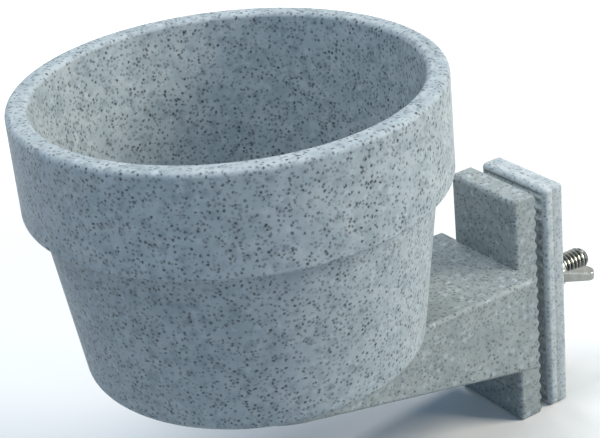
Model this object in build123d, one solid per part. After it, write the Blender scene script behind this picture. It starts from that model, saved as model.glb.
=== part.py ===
from build123d import *
import math
import os

# A cup on a clamp-on bracket, in millimetres. The origin is on the bolt's axis, in the plane of
# the fixed jaw's tooth crests. +X runs along the bolt, away from the cup, and +Z is up.

# Cup: a flower-pot shape with a wide band at the rim
rim_diameter = 100.0
rim_wall = 5.1
rim_edge_radius = 1.3
band_height = 24.7
band_overhang = 3.8  # the band stands this far out over the pot below it
band_edge_radius = 0.9
pot_height = 67.3  # rim plane to base
base_diameter = 81.3
base_edge_radius = 2.6
pot_wall = 4.4
floor_thickness = 4.5
floor_edge_radius = 7.0

# Twist lock under the cup: a seat collar, a neck through the arm and two lugs below it
collar_radius = 17.5
collar_height = 3.45  # base above the arm's top
collar_edge_radius = 0.8
neck_radius = 9.0
neck_bore_radius = 6.0
lug_reach = 3.6  # lug tip beyond the neck
lug_angle = 40.0
lug_thickness = 2.6
lock_turn = 60.0  # turn that frees the lugs
seat_clearance = 0.15
neck_clearance = 0.3
lug_clearance = 0.25
stop_angle_clearance = 2.0

# Arm: a hollow beam, open underneath, deepest at the jaw
arm_reach = 79.3  # cup axis to the gripping plane
arm_width = 38.0
arm_end_height = 26.7
arm_root_height = 11.5  # depth under the cup's axis
arm_wall = 3.0
arm_top_thickness = 3.0
arm_end_wall = 3.7
arm_overlap = 0.4  # arm's end past the fixed jaw's back
arm_edge_radius = 1.2
arm_draft = 1.5  # outward lean of its side walls, top to bottom, in degrees

# Jaws: two serrated plates of one size
jaw_width = 25.0
jaw_height = 65.5
fixed_jaw_thickness = 7.3
loose_jaw_thickness = 6.5
jaw_edge_radius = 1.3
jaw_crisp_radius = 0.5  # along the fixed jaw's thickness
tooth_pitch = 3.275
fixed_tooth_depth = 0.65
loose_tooth_depth = 1.0
tooth_facets = 10  # flats that make up one rounded tooth
tooth_border = 1.4  # plain border round the loose jaw's teeth
tooth_pocket = 0.1  # loose jaw's crests below its border
jaw_gap = 3.2  # fixed jaw's crests to the loose jaw's border, as stored
bolt_hole_clearance = 0.3

# Bolt and wing nut: quarter inch, 20 threads to the inch
thread_diameter = 6.35
thread_pitch = 1.27
thread_depth = 0.72
thread_length = 25.4
bolt_length = 38.1  # under the head
bolt_tip_chamfer = 0.7
head_across_flats = 11.1
head_height = 4.2
head_clearance = 0.2
head_socket_wall = 2.6
nut_clearance = 0.08
nut_seat_clearance = 0.1
hub_base_radius = 6.0
hub_top_radius = 5.1
hub_height = 7.6
hub_edge_radius = 0.6
wing_span = 22.0
wing_height = 13.8
wing_thickness = 4.1  # on the axis, thinning outwards
wing_tip_thickness = 2.3
wing_edge_radius = 0.5
wing_root_radius = 2.5  # where an ear starts inside the hub
wing_root_height = 4.2
wing_foot_reach = 4.0  # where its outer edge starts to flare
wing_shoulder_height = 11.8  # widest point
wing_shoulder_radius = 1.6
wing_peak_reach = 8.6  # highest point
wing_peak_radius = 1.8
wing_heel_reach = 6.2  # inner top corner
wing_heel_height = 13.2
wing_heel_radius = 1.4
wing_crook_height = 6.7  # where its inner edge meets the hub
wing_crook_radius = 1.0

# Places that follow from the sizes above
rim_radius = rim_diameter / 2
base_radius = base_diameter / 2
arm_top_z = arm_end_height / 2
base_z = arm_top_z + collar_height
rim_z = base_z + pot_height
arm_end_x = arm_overlap - fixed_jaw_thickness
cup_x = -arm_reach
arm_half = arm_width / 2
plate_under_z = arm_top_z - arm_top_thickness
seat_z = arm_top_z + seat_clearance
lug_top_z = plate_under_z - lug_clearance
lug_radius = neck_radius + lug_reach
thread_radius = thread_diameter / 2
head_seat_x = arm_end_x - arm_end_wall
loose_back_x = jaw_gap + loose_jaw_thickness
nut_seat_x = loose_back_x + nut_seat_clearance
cup_place = Pos(cup_x, 0, 0)


def turned(points, radii):
    """A solid turned about Z from an outline of (radius, height) points with rounded corners."""
    outline = FilletPolyline(*[(r, 0, z) for r, z in points], radius=radii, close=True)
    return revolve(make_face(outline), Axis.Z)


def ring_sector(inner, outer, start, sweep_angle, low, high):
    """A block between two radii and two angles about Z."""
    outer_arc = CenterArc((0, 0), outer, start, sweep_angle)
    inner_arc = CenterArc((0, 0), inner, start, sweep_angle)
    first_side = Line(inner_arc @ 0, outer_arc @ 0)
    last_side = Line(inner_arc @ 1, outer_arc @ 1)
    face = make_face([outer_arc, last_side, inner_arc, first_side])
    return Pos(0, 0, low) * extrude(face, amount=high - low)


def lug_pair(inner, outer, widen, low, high, turn):
    """Two opposite sectors, as wide as the lugs plus a clearance angle on each side."""
    width = lug_angle + 2 * widen
    first = ring_sector(inner, outer, 90 + turn - width / 2, width, low, high)
    return first + Rot(0, 0, 180) * first


def bar(radius, start_x, end_x):
    """A round bar along the bolt's axis."""
    return Pos(start_x, 0, 0) * (Rot(0, 90, 0) * extrude(Circle(radius), amount=end_x - start_x))


def hexagon_bar(across_flats, start_x, end_x):
    """A hexagonal bar along the bolt's axis."""
    section = RegularPolygon(across_flats / 2, 6, major_radius=False)
    return Pos(start_x, 0, 0) * (Rot(0, 90, 0) * extrude(section, amount=end_x - start_x))


def make_crock():
    """The cup with its band, and the twist lock moulded under its base."""
    drop = rim_z - band_height
    taper = (rim_radius - band_overhang - base_radius) / (pot_height - band_height)
    floor_z = base_z + floor_thickness
    floor_radius = base_radius + taper * floor_thickness - pot_wall
    lug_low = lug_top_z - lug_thickness
    points = [
        (0, floor_z),
        (floor_radius, floor_z),
        (rim_radius - rim_wall, rim_z),
        (rim_radius, rim_z),
        (rim_radius, drop),
        (rim_radius - band_overhang, drop),
        (base_radius, base_z),
        (collar_radius, base_z),
        (collar_radius, seat_z),
        (neck_radius, seat_z),
        (neck_radius, lug_low),
        (neck_bore_radius, lug_low),
        (neck_bore_radius, base_z),
        (0, base_z),
    ]
    radii = [0, floor_edge_radius, rim_edge_radius, rim_edge_radius, band_edge_radius, band_edge_radius,
             base_edge_radius, 0, collar_edge_radius, 0, 0, 0, 0, 0]
    body = turned(points, radii)
    lugs = lug_pair(neck_radius - neck_clearance, lug_radius, 0, lug_low, lug_top_z, 0)
    return cup_place * (body + lugs)


def serration(low, high, crest_x, root_x):
    """Rounded teeth from one height to the other, as a wave of narrow flats."""
    count = round((high - low) / tooth_pitch)
    step = (high - low) / (count * tooth_facets)
    middle = (crest_x + root_x) / 2
    swing = (crest_x - root_x) / 2
    points = []
    for corner in range(count * tooth_facets + 1):
        turn = 2 * math.pi * corner / tooth_facets
        points.append((middle - swing * math.cos(turn), 0, low + corner * step))
    return points


def jaw_plate(thickness):
    """A plate toothed right across, its crests at zero and pointing along +X, its other edges rounded."""
    half_height = jaw_height / 2
    teeth = serration(-half_height, half_height, 0, -fixed_tooth_depth)
    outline = Polyline(*teeth, (-thickness, 0, half_height), (-thickness, 0, -half_height), close=True)
    plate = extrude(make_face(outline), amount=jaw_width / 2, dir=(0, 1, 0), both=True)
    plate = fillet(plate.edges().filter_by(Axis.X), jaw_crisp_radius)
    return fillet(plate.faces().sort_by(Axis.X)[0].edges(), jaw_edge_radius)


def arm_solid(inset, top_z, end_x, bottom_drop):
    """The arm's beam: a round-ended plan, leaning out downwards, cut below by its sloping underside."""
    half = arm_half - inset
    slope = (arm_end_height - arm_root_height) / (arm_reach + arm_end_x)
    far_x = cup_x - half - arm_wall
    plan = Pos(cup_x, 0) * Circle(half) + Pos((cup_x + end_x) / 2, 0) * Rectangle(end_x - cup_x, 2 * half)

    def underside(x):
        return arm_top_z - arm_end_height + slope * (arm_end_x - x) - bottom_drop

    side = Polyline(
        (far_x, 0, top_z),
        (end_x, 0, top_z),
        (end_x, 0, underside(end_x)),
        (far_x, 0, underside(far_x)),
        close=True,
    )
    top = Pos(0, 0, arm_top_z) * plan
    column = extrude(top, amount=2 * arm_end_height, dir=(0, 0, -1), taper=-arm_draft)
    return column & extrude(make_face(side), amount=arm_width, dir=(0, 1, 0), both=True)


def make_bracket():
    """Arm and fixed jaw in one moulding, with the twist lock's keyhole and the bolt head's socket."""
    outside = arm_solid(0, arm_top_z, arm_end_x, 0)
    upper = outside.faces().sort_by(Axis.Z)[-1].edges()
    lower = outside.faces().sort_by(Axis.Z)[0].edges()
    rounded = [edge for edge in upper + lower if abs(edge.center().X - arm_end_x) > arm_wall]
    outside = fillet(rounded, arm_edge_radius)
    hollow = arm_solid(arm_wall, plate_under_z, head_seat_x, arm_wall)
    stop_sweep = 180 - lug_angle - lock_turn - 2 * stop_angle_clearance
    stop_start = 90 + lug_angle / 2 + lock_turn + stop_angle_clearance
    stop_low = lug_top_z - lug_thickness
    hole_low = plate_under_z - lug_thickness
    hole_radius = neck_radius + neck_clearance
    slot_radius = lug_radius + neck_clearance
    neck_inside = neck_radius - neck_clearance
    stop = ring_sector(hole_radius, lug_radius, stop_start, stop_sweep, stop_low, plate_under_z)
    keyhole = Pos(0, 0, hole_low) * extrude(Circle(hole_radius), amount=arm_end_height)
    slots = lug_pair(neck_inside, slot_radius, stop_angle_clearance, hole_low, arm_end_height, lock_turn)
    socket_radius = head_across_flats / math.sqrt(3) + head_clearance + head_socket_wall
    socket = bar(socket_radius, head_seat_x - head_height, head_seat_x)
    head_room = hexagon_bar(head_across_flats + 2 * head_clearance, head_seat_x - head_height, head_seat_x)
    bolt_hole = bar(thread_radius + bolt_hole_clearance, head_seat_x - 2 * head_height, jaw_gap / 2)
    arm = outside - hollow + socket - head_room - bolt_hole
    arm += cup_place * (stop + Rot(0, 0, 180) * stop)
    arm -= cup_place * keyhole
    arm -= cup_place * slots
    return arm + (jaw_plate(fixed_jaw_thickness) - bolt_hole)


def make_clamp_plate():
    """The loose jaw: a round-edged plate, its teeth in a shallow pocket, with a clear hole for the bolt."""
    blank = fillet(Box(loose_jaw_thickness, jaw_width, jaw_height).edges(), jaw_edge_radius)
    face_x = loose_jaw_thickness / 2
    crest_x = face_x - tooth_pocket
    half_height = jaw_height / 2 - tooth_border
    teeth = serration(-half_height, half_height, crest_x, crest_x - loose_tooth_depth)
    front_x = face_x + loose_tooth_depth
    outline = Polyline(*teeth, (front_x, 0, half_height), (front_x, 0, -half_height), close=True)
    pocket = extrude(make_face(outline), amount=jaw_width / 2 - tooth_border, dir=(0, 1, 0), both=True)
    plate = Pos(jaw_gap + face_x, 0, 0) * (Rot(0, 0, 180) * (blank - pocket))
    return plate - bar(thread_radius + bolt_hole_clearance, jaw_gap / 2, loose_back_x + jaw_gap / 2)


def make_clamp_bolt():
    """A hexagon-head bolt whose free end carries V-shaped thread rings."""
    root_radius = thread_radius - thread_depth
    plain_length = bolt_length - thread_length
    count = int((thread_length - bolt_tip_chamfer) / thread_pitch)
    points = [(0, 0), (thread_radius, 0)]
    for ring in range(count):
        start = plain_length + ring * thread_pitch
        points += [(thread_radius, start), (root_radius, start + thread_pitch / 2)]
    tip_start = plain_length + count * thread_pitch
    points += [(thread_radius, tip_start), (root_radius, bolt_length), (0, bolt_length)]
    shank = turned(points, 0)
    head = hexagon_bar(head_across_flats, head_seat_x - head_height, head_seat_x)
    return head + Pos(head_seat_x, 0, 0) * (Rot(0, 90, 0) * shank)


def make_wing_nut():
    """A forged wing nut: a tapered hub with two upswept ears, wings level as stored."""
    hub = turned(
        [(0, 0), (hub_base_radius, 0), (hub_top_radius, hub_height), (0, hub_height)],
        [0, hub_edge_radius, hub_edge_radius, 0],
    )
    points = [
        (wing_root_radius, 0, wing_root_height),
        (wing_foot_reach, 0, wing_root_height),
        (wing_span / 2, 0, wing_shoulder_height),
        (wing_peak_reach, 0, wing_height),
        (wing_heel_reach, 0, wing_heel_height),
        (hub_top_radius, 0, wing_crook_height),
        (wing_root_radius, 0, wing_crook_height),
    ]
    top_radii = [wing_shoulder_radius, wing_peak_radius, wing_heel_radius]
    radii = [0, wing_crook_radius, *top_radii, wing_crook_radius, 0]
    outline = FilletPolyline(*points, radius=radii, close=True)
    ear = extrude(make_face(outline), amount=wing_thickness / 2, dir=(0, 1, 0), both=True)
    thinning = Polyline(
        (0, wing_thickness / 2),
        (wing_span / 2, wing_tip_thickness / 2),
        (wing_span / 2, -wing_tip_thickness / 2),
        (0, -wing_thickness / 2),
        close=True,
    )
    ear &= extrude(make_face(thinning), amount=wing_height)
    face_edges = [edge for edge in ear.edges() if abs(edge.center().Y) > wing_tip_thickness / 4]
    ear = fillet(face_edges, wing_edge_radius)
    bore = extrude(Circle(thread_radius + nut_clearance), amount=hub_height)
    nut = hub + ear + Rot(0, 0, 180) * ear - bore
    return Pos(nut_seat_x, 0, 0) * (Rot(90, 0, 0) * (Rot(0, 90, 0) * nut))


os.makedirs("parts", exist_ok=True)
export_step(make_crock(), "parts/crock.step")
export_step(make_bracket(), "parts/bracket.step")
export_step(make_clamp_plate(), "parts/clamp_plate.step")
export_step(make_clamp_bolt(), "parts/clamp_bolt.step")
export_step(make_wing_nut(), "parts/wing_nut.step")
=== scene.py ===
import math
import bmesh
import bpy
from mathutils import Matrix, Vector


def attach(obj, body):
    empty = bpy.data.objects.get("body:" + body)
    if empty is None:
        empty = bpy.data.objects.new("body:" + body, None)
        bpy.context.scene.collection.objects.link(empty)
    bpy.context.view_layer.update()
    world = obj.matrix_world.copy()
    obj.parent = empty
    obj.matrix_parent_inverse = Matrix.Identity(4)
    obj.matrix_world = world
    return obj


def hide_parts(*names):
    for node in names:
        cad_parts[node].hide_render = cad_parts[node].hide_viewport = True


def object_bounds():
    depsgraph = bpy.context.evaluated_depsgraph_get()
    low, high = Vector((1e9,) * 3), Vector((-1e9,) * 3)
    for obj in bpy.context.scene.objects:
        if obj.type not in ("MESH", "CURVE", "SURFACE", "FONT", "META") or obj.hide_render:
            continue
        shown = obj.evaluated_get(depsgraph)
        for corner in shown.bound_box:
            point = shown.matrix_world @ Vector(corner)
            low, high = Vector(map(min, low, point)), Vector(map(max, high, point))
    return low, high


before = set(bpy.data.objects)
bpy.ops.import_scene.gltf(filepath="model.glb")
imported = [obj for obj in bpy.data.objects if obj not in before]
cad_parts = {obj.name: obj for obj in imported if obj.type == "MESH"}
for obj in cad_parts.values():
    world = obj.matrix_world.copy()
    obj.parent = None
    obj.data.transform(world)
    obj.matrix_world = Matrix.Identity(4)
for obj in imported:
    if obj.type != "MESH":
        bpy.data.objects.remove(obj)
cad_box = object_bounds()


# Bracket: the hollow arm under the cup and the fixed jaw at its end, one moulding of
# granite-look styrene. The jaw's outer face carries rounded teeth right across.
MM = 0.001  # scene units in a millimetre


def to_linear(hex_colour):
    """A linear colour from an sRGB hex value."""
    shares = [int(hex_colour[start:start + 2], 16) / 255 for start in (1, 3, 5)]
    return [s / 12.92 if s <= 0.04045 else ((s + 0.055) / 1.055) ** 2.4 for s in shares] + [1]


def put(tree, kind, settings=None, inputs=None):
    """Adds a node with its settings, and sets or links its inputs by name or number."""
    made = tree.nodes.new(kind)
    for name, value in (settings or {}).items():
        setattr(made, name, value)
    for name, value in (inputs or {}).items():
        if isinstance(value, bpy.types.NodeSocket):
            tree.links.new(value, made.inputs[name])
        else:
            made.inputs[name].default_value = value
    return made


def flecks(tree, colour, place, spacing, radius, share, softness, tint):
    """Lays flecks of one tint over a colour, with their spacing and radius in mm. The share is
    how many of the cells hold one, and the softness how much of the radius its edge fades over."""
    faintest = 0.3  # strength of the weakest fleck
    cells = put(tree, "ShaderNodeTexVoronoi", {}, {"Vector": place, "Scale": 1 / (spacing * MM)})
    chance = put(tree, "ShaderNodeSeparateColor", {}, {"Color": cells.outputs["Color"]})
    kept = put(tree, "ShaderNodeMath", {"operation": "LESS_THAN"}, {
        0: chance.outputs[0], 1: share,
    })
    strength = put(tree, "ShaderNodeMapRange", {}, {
        "Value": chance.outputs[1], "To Min": faintest, "To Max": 1,
    })
    shape = put(tree, "ShaderNodeMapRange", {}, {
        "Value": cells.outputs["Distance"], "From Min": radius * (1 - softness) / spacing,
        "From Max": radius * (1 + softness) / spacing, "To Min": strength.outputs[0], "To Max": 0,
    })
    mask = put(tree, "ShaderNodeMath", {"operation": "MULTIPLY"}, {
        0: shape.outputs[0], 1: kept.outputs[0],
    })
    return put(tree, "ShaderNodeMix", {"data_type": "RGBA"}, {
        0: mask.outputs[0], 6: colour, 7: to_linear(tint),
    }).outputs[2]


def granite_styrene(name, dark_cloud, light_cloud, blotch, fleck):
    """Granite-look styrene: a satin grey plastic, faintly clouded in the melt, with pale chips,
    soft blotches and dark flecks of about half a millimetre all through it. The moulded skin has
    a soft even gloss."""
    cloud_width = 6 * MM
    stray_width, stray_reach = 0.7 * MM, 0.9 * MM  # how far the flecks' outlines wander
    grain_width, grain_depth = 0.6 * MM, 0.1 * MM  # drawn coarser than the real skin, to show
    material = bpy.data.materials.new(name)
    material.use_nodes = True
    tree = material.node_tree
    shader = tree.nodes["Principled BSDF"]
    place = put(tree, "ShaderNodeTexCoord").outputs["Object"]
    stray = put(tree, "ShaderNodeTexNoise", {}, {
        "Vector": place, "Scale": 1 / stray_width, "Detail": 2,
    })
    ragged_place = put(tree, "ShaderNodeVectorMath", {"operation": "MULTIPLY_ADD"}, {
        0: stray.outputs["Color"], 1: [stray_reach] * 3, 2: place,
    }).outputs[0]
    clouds = put(tree, "ShaderNodeTexNoise", {}, {
        "Vector": place, "Scale": 1 / cloud_width, "Detail": 5,
    })
    cloud_share = put(tree, "ShaderNodeMapRange", {}, {
        "Value": clouds.outputs[0], "From Min": 0.35, "From Max": 0.65,
    })
    colour = put(tree, "ShaderNodeMix", {"data_type": "RGBA"}, {
        0: cloud_share.outputs[0], 6: to_linear(dark_cloud), 7: to_linear(light_cloud),
    }).outputs[2]
    for spacing, radius, share, softness, tint in (
        (2.2, 0.8, 0.5, 0.4, "#BAC4C7"),  # pale chips
        (2.4, 0.95, 0.6, 0.6, blotch),
        (0.95, 0.32, 0.9, 0.55, fleck),
    ):
        colour = flecks(tree, colour, ragged_place, spacing, radius, share, softness, tint)
    tree.links.new(colour, shader.inputs["Base Color"])
    grain = put(tree, "ShaderNodeTexNoise", {}, {
        "Vector": place, "Scale": 1 / grain_width, "Detail": 2,
    })
    grain_bump = put(tree, "ShaderNodeBump", {}, {
        "Strength": 0.06, "Distance": grain_depth, "Height": grain.outputs[0],
    })
    tree.links.new(grain_bump.outputs[0], shader.inputs["Normal"])
    gloss = put(tree, "ShaderNodeMapRange", {}, {
        "Value": clouds.outputs[0], "From Min": 0.3, "From Max": 0.7, "To Min": 0.5, "To Max": 0.6,
    })
    tree.links.new(gloss.outputs[0], shader.inputs["Roughness"])
    shader.inputs["IOR"].default_value = 1.54
    shader.inputs["Specular IOR Level"].default_value = 0.35
    return material


def show_piece(name, mesh, node, body, material, crease):
    """Makes a mesh the shown form of a CAD node: smooth, but sharp where faces meet past the
    crease angle, in degrees."""
    for face in mesh.faces:
        face.smooth = True
    for edge in mesh.edges:
        edge.smooth = edge.is_manifold and edge.calc_face_angle() < math.radians(crease)
    data = bpy.data.meshes.new(name)
    mesh.to_mesh(data)
    mesh.free()
    piece = bpy.data.objects.new(name, data)
    bpy.context.scene.collection.objects.link(piece)
    data.materials.append(material)
    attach(piece, body)
    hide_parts(node)
    return piece


def moulding(node):
    """A joined copy of a CAD node's loose triangles."""
    mesh = bmesh.new()
    mesh.from_mesh(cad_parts[node].data)
    bmesh.ops.remove_doubles(mesh, verts=mesh.verts, dist=0.001 * MM)
    return mesh


def keep_flats(piece):
    """Keeps large faces flat next to their rounded edges."""
    flats = piece.modifiers.new("flats", "WEIGHTED_NORMAL")
    flats.keep_sharp = True


bracket_styrene = granite_styrene(
    "granite_styrene_bracket", dark_cloud="#969F9F", light_cloud="#A5ACAA", blotch="#8A9495",
    fleck="#4E585B",
)
bracket = show_piece(
    "bracket_moulding", moulding("bracket"), "bracket", "bracket",
    bracket_styrene, crease=40,
)
keep_flats(bracket)


# Clamp bolt: a zinc-plated quarter-inch machine bolt with a rolled thread. Its hexagon head is
# caught in a socket inside the arm, and the thread runs out through both jaws.

# Bright zinc plate: a pale metal, softly mirrored, a little cloudy from the bath. Painted shade
# darkens it near the bolt's axis, in the thread's roots and on the bolt's end.
bath_width = 2 * MM
# painted shade in the thread's roots: full inside the first distance, gone past the second
root_shade_full, root_shade_edge = 2.5 * MM, 3.1 * MM  # distances from the bolt's axis
zinc_plate = bpy.data.materials.new("bright_zinc_plate")
zinc_plate.use_nodes = True
tree = zinc_plate.node_tree
shader = tree.nodes["Principled BSDF"]
place = put(tree, "ShaderNodeTexCoord").outputs["Object"]
bath = put(tree, "ShaderNodeTexNoise", {}, {"Vector": place, "Scale": 1 / bath_width, "Detail": 3})
zinc_colour = put(tree, "ShaderNodeMix", {"data_type": "RGBA"}, {
    0: bath.outputs[0], 6: to_linear("#85857B"), 7: to_linear("#B2B6B5"),
})
# Painted shade: the colour turns dark near the bolt's axis, so the thread's roots and the bolt's
# end look shaded
off_axis = put(tree, "ShaderNodeVectorMath", {"operation": "MULTIPLY"}, {0: place, 1: (0, 1, 1)})
distance = put(tree, "ShaderNodeVectorMath", {"operation": "LENGTH"}, {0: off_axis.outputs[0]})
crest_share = put(tree, "ShaderNodeMapRange", {}, {
    "Value": distance.outputs["Value"], "From Min": root_shade_full, "From Max": root_shade_edge,
})
root_shaded_colour = put(tree, "ShaderNodeMix", {"data_type": "RGBA"}, {
    0: crest_share.outputs[0], 6: to_linear("#4E524F"), 7: zinc_colour.outputs[2],
})
tree.links.new(root_shaded_colour.outputs[2], shader.inputs["Base Color"])
zinc_gloss = put(tree, "ShaderNodeMapRange", {}, {
    "Value": bath.outputs[0], "From Min": 0.3, "From Max": 0.7, "To Min": 0.16, "To Max": 0.3,
})
tree.links.new(zinc_gloss.outputs[0], shader.inputs["Roughness"])
shader.inputs["Metallic"].default_value = 1

bolt_radius, root_radius = 3.175 * MM, 2.455 * MM
thread_pitch = 1.27 * MM
thread_steps = 48  # steps in one turn
spare_turns = 3  # the thread is made too long and then cut at both ends
thread_start, bolt_tip = 2.1 * MM, 27.5 * MM
tip_length, tip_slope = 1.4 * MM, 0.6
head_low, head_seat, head_flats, head_bevel = -14.8 * MM, -10.6 * MM, 11.1 * MM, 0.35 * MM
head_radius = head_flats / math.sqrt(3)

bolt = bmesh.new()
crest_half, root_half = thread_pitch / 16, thread_pitch / 8
section = [
    (0, root_radius),
    (root_half, root_radius),
    (thread_pitch / 2 - crest_half, bolt_radius),
    (thread_pitch / 2 + crest_half, bolt_radius),
    (thread_pitch - root_half, root_radius),
    (thread_pitch, root_radius),
]
corners = [bolt.verts.new((thread_start - 2 * thread_pitch + x, 0, r)) for x, r in section]
ridge = [bolt.edges.new(pair) for pair in zip(corners, corners[1:])]
turns = math.ceil((bolt_tip - thread_start) / thread_pitch) + spare_turns
bmesh.ops.spin(
    bolt, geom=corners + ridge, cent=(0, 0, 0), axis=(1, 0, 0),
    dvec=(thread_pitch / thread_steps, 0, 0), angle=-turns * math.tau, steps=turns * thread_steps,
)
bmesh.ops.remove_doubles(bolt, verts=bolt.verts, dist=0.005 * MM)
for cut, side in ((thread_start, -1), (bolt_tip, 1)):
    bmesh.ops.bisect_plane(
        bolt, geom=bolt.verts[:] + bolt.edges[:] + bolt.faces[:], plane_co=(cut, 0, 0),
        plane_no=(side, 0, 0), clear_outer=True,
    )
tip_start = bolt_tip - tip_length
for corner in bolt.verts:
    if corner.co.x > tip_start:
        limit = bolt_radius - (corner.co.x - tip_start) * tip_slope
        radius = math.hypot(corner.co.y, corner.co.z)
        if radius > limit:
            corner.co.y *= limit / radius
            corner.co.z *= limit / radius
bmesh.ops.holes_fill(bolt, edges=[edge for edge in bolt.edges if edge.is_boundary])
along_bolt = Matrix.Rotation(math.pi / 2, 4, "Y")
shank_middle, head_middle = (head_seat + thread_start) / 2, (head_seat + head_low) / 2
bmesh.ops.create_cone(
    bolt, cap_ends=True, segments=64, radius1=bolt_radius, radius2=bolt_radius,
    depth=thread_start - head_seat + thread_pitch,
    matrix=Matrix.Translation((shank_middle, 0, 0)) @ along_bolt,
)
head = bmesh.ops.create_cone(
    bolt, cap_ends=True, segments=6, radius1=head_radius, radius2=head_radius,
    depth=head_seat - head_low, matrix=Matrix.Translation((head_middle, 0, 0)) @ along_bolt,
)
head_edges = list({edge for corner in head["verts"] for edge in corner.link_edges})
bmesh.ops.bevel(
    bolt, geom=head_edges, offset=head_bevel, segments=3, profile=0.5, affect="EDGES", material=-1,
)
bmesh.ops.recalc_face_normals(bolt, faces=bolt.faces)
show_piece(
    "machine_bolt", bolt, "clamp_bolt", "bracket", zinc_plate, crease=50,
)


# Cup: a flower-pot shape with a deep band at the rim, moulded in the same granite-look styrene.
# A collar, a neck and two lugs under its base lock it on the arm with a part turn.
cup_place = Vector((-79.3, 0, 0)) * MM
cup_steps = 256
lug_size, lug_bevel = Vector((7.6, 3.8, 2.6)) * MM, 0.3 * MM
lug_reach, lug_height = 10.6, 8.8  # mm from the cup's axis, and above the bolt's


def round_corner(mesh, corner, radius):
    """Rounds one corner of an outline of loose edges."""
    first, last = [edge.other_vert(corner).co - corner.co for edge in corner.link_edges]
    reach = radius / math.tan(first.angle(last) / 2)
    bmesh.ops.bevel(
        mesh, geom=[corner], offset=reach, offset_type="ABSOLUTE", segments=8, profile=0.5,
        affect="VERTICES", material=-1,
    )


def turn(mesh, outline, centre, steps):
    """Turns an outline of (radius, height, corner radius) in mm about a standing axis."""
    corners = [mesh.verts.new(centre + Vector((r, 0, z)) * MM) for r, z, _ in outline]
    for pair in zip(corners, corners[1:]):
        mesh.edges.new(pair)
    for corner, (_, _, radius) in zip(corners, outline):
        if radius:
            round_corner(mesh, corner, radius * MM)
    bmesh.ops.spin(
        mesh, geom=mesh.verts[:] + mesh.edges[:], cent=centre, axis=(0, 0, 1), angle=math.tau,
        steps=steps, use_merge=True,
    )
    bmesh.ops.remove_doubles(mesh, verts=mesh.verts, dist=0.005 * MM)


cup = bmesh.new()
turn(cup, [
    (0, 21.3, 0),  # inside floor
    (36.8, 21.3, 7),
    (44.9, 84.1, 1.3),  # rim
    (50, 84.1, 1.3),
    (50, 59.4, 0.9),  # band's lower edge
    (46.2, 59.4, 0.9),
    (40.65, 16.8, 2.6),  # base
    (17.5, 16.8, 0),
    (17.5, 13.5, 0.8),  # collar
    (9, 13.5, 0),
    (9, 7.5, 0),  # neck, hollow from below
    (6, 7.5, 0),
    (6, 16.8, 0),
    (0, 16.8, 0),
], cup_place, cup_steps)
bmesh.ops.recalc_face_normals(cup, faces=cup.faces)
for side in (-1, 1):
    lug_place = cup_place + Vector((0, side * lug_reach, lug_height)) * MM
    lug = bmesh.ops.create_cube(
        cup, size=1, matrix=Matrix.Translation(lug_place) @ Matrix.Diagonal((*lug_size, 1)),
    )
    lug_edges = list({edge for corner in lug["verts"] for edge in corner.link_edges})
    bmesh.ops.bevel(
        cup, geom=lug_edges, offset=lug_bevel, segments=3, profile=0.5, affect="EDGES",
        material=-1,
    )
cup_styrene = granite_styrene(
    "granite_styrene_cup", dark_cloud="#A1ADB1", light_cloud="#B5BEC0", blotch="#8E999E",
    fleck="#1A242B",
)
crock = show_piece(
    "crock_moulding", cup, "crock", "crock", cup_styrene, crease=40,
)
keep_flats(crock)


# Clamp plate: the loose jaw, a moulded plate of the same plastic. Its toothed face looks at the
# fixed jaw, the bolt passes through a clear hole in its middle, and the mould's joint line runs
# round its sides as a fine groove.
line_place, line_half, line_depth = 6 * MM, 0.25 * MM, 0.4 * MM
hole_reach = 5 * MM  # corners nearer to the bolt's axis belong to the hole, and stay
plate = moulding("clamp_plate")
for cut in (line_place - line_half, line_place, line_place + line_half):
    bmesh.ops.bisect_plane(
        plate, geom=plate.verts[:] + plate.edges[:] + plate.faces[:], plane_co=(cut, 0, 0),
        plane_no=(1, 0, 0),
    )
bmesh.ops.recalc_face_normals(plate, faces=plate.faces)
plate.normal_update()
for corner in plate.verts:
    outside = math.hypot(corner.co.y, corner.co.z) > hole_reach
    if outside and abs(corner.co.x - line_place) < line_half / 2:
        corner.co -= line_depth * corner.normal
plate_styrene = granite_styrene(
    "granite_styrene_plate", dark_cloud="#BAC2C3", light_cloud="#C8CECE", blotch="#ADB6B7",
    fleck="#697478",
)
clamp_plate = show_piece(
    "clamp_plate_moulding", plate, "clamp_plate", "clamp_plate",
    plate_styrene, crease=40,
)
keep_flats(clamp_plate)


# Wing nut: a zinc-plated forging with two upswept ears, run up the bolt against the loose jaw.
# The voxels and the smoothing give it the blended corners of a forged piece.
wing_nut = show_piece(
    "wing_nut_forging", moulding("wing_nut"), "wing_nut", "wing_nut",
    zinc_plate, crease=180,
)
blend_corners = wing_nut.modifiers.new("forged_corners", "REMESH")
blend_corners.mode = "VOXEL"
blend_corners.voxel_size = 0.13 * MM
blend_corners.use_smooth_shade = True
soften = wing_nut.modifiers.new("soft_skin", "SMOOTH")
soften.factor = 0.5
soften.iterations = 8


# Floor: a plain pale sheet under the jaws' lower ends. It shows the shadow near the object and
# turns to plain white away from it.
shadow_reach, white_reach = 0.15, 0.6  # metres from the clamp
floor_mesh = bmesh.new()
bmesh.ops.create_grid(
    floor_mesh, x_segments=1, y_segments=1, size=4, matrix=Matrix.Translation((0, 0, cad_box[0].z))
)
floor_data = bpy.data.meshes.new("floor")
floor_mesh.to_mesh(floor_data)
floor_mesh.free()
floor = bpy.data.objects.new("floor", floor_data)
bpy.context.scene.collection.objects.link(floor)
pale_sheet = bpy.data.materials.new("matt_white_sheet")
pale_sheet.use_nodes = True
tree = pale_sheet.node_tree
path = put(tree, "ShaderNodeLightPath")
seen = put(tree, "ShaderNodeMath", {"operation": "MAXIMUM"}, {
    0: path.outputs["Is Camera Ray"], 1: path.outputs["Is Glossy Ray"],
})
sheet_colour = put(tree, "ShaderNodeMix", {"data_type": "RGBA"}, {
    0: seen.outputs[0], 6: to_linear("#9A9EA0"), 7: to_linear("#FAF8F4"),
})
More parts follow.
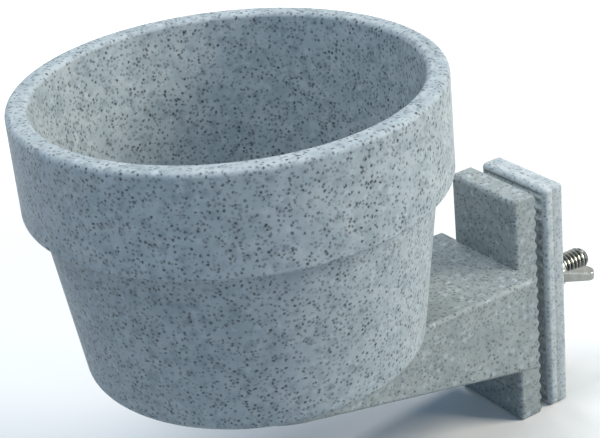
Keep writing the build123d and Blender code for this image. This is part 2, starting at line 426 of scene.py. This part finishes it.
shader = tree.nodes["Principled BSDF"]
tree.links.new(sheet_colour.outputs[2], shader.inputs["Base Color"])
shader.inputs["Roughness"].default_value = 0.9
place = put(tree, "ShaderNodeTexCoord").outputs["Object"]
distance = put(tree, "ShaderNodeVectorMath", {"operation": "LENGTH"}, {0: place})
far_white = put(tree, "ShaderNodeMapRange", {"interpolation_type": "SMOOTHSTEP"}, {
    "Value": distance.outputs["Value"], "From Min": shadow_reach, "From Max": white_reach,
    "To Min": 0, "To Max": seen.outputs[0],
})
tree.links.new(far_white.outputs[0], shader.inputs["Emission Strength"])
shader.inputs["Emission Color"].default_value = (1, 1, 1, 1)
floor_data.materials.append(pale_sheet)


# Light: a large soft lamp from the clamp's side and one from above, a weak one from the front, a
# small one behind that picks out the metal's edges, and even light from all round, which is a
# cool grey on the object and plain white where the background shows.
def lamp(name, spot, aim, size, power, tint):
    """A square soft lamp at a spot, turned to its aim."""
    light = bpy.data.lights.new(name, "AREA")
    light.size = size
    light.energy = power
    light.color = to_linear(tint)[:3]
    holder = bpy.data.objects.new(name, light)
    holder.location = spot
    holder.rotation_euler = (Vector(aim) - Vector(spot)).to_track_quat("-Z", "Y").to_euler()
    bpy.context.scene.collection.objects.link(holder)


lamp("right_lamp", (0.72, -0.6, 0.55), (-0.05, 0, 0.03), size=0.5, power=11.2, tint="#FFF9EE")
lamp("front_lamp", (-0.5, -0.85, 0.3), (-0.05, 0, 0.02), size=0.5, power=1, tint="#DCEBFF")
lamp("top_lamp", (-0.36, 0.05, 1.05), (-0.05, 0, 0.03), size=0.6, power=5.6, tint="#F6FAFF")
lamp("glint_lamp", (0.06, 0.32, 0.98), (0, 0, 0), size=0.2, power=2.2, tint="#FFFFFF")

world = bpy.data.worlds.new("studio")
bpy.context.scene.world = world
world.use_nodes = True
tree = world.node_tree
path = put(tree, "ShaderNodeLightPath")
seen = put(tree, "ShaderNodeMath", {"operation": "MAXIMUM"}, {
    0: path.outputs["Is Camera Ray"], 1: path.outputs["Is Glossy Ray"],
})
seen = put(tree, "ShaderNodeMath", {"operation": "MAXIMUM"}, {
    0: seen.outputs[0], 1: path.outputs["Is Transmission Ray"],
})
backdrop = put(tree, "ShaderNodeMix", {"data_type": "RGBA"}, {
    0: seen.outputs[0], 6: to_linear("#557490"), 7: (1, 1, 1, 1),
})
tree.links.new(backdrop.outputs[2], tree.nodes["Background"].inputs["Color"])


# Camera: a long lens from the cup's side, a little tilted, as the photograph was taken.
camera_data = bpy.data.cameras.new("camera")
camera_data.sensor_width = 36
camera_data.lens = 100.655
camera = bpy.data.objects.new("camera", camera_data)
bpy.context.scene.collection.objects.link(camera)
camera_place = Matrix.Translation(Vector((-257.90, -304.76, 218.81)) * MM)
turn_round = Matrix.Rotation(math.radians(-32.526), 4, "Z")
tip_down = Matrix.Rotation(math.radians(90 - 25.831), 4, "X")
roll = Matrix.Rotation(math.radians(-5.693), 4, "Z")
camera.matrix_world = camera_place @ turn_round @ tip_down @ roll
bpy.context.scene.camera = camera
bpy.context.scene.view_settings.view_transform = "Standard"
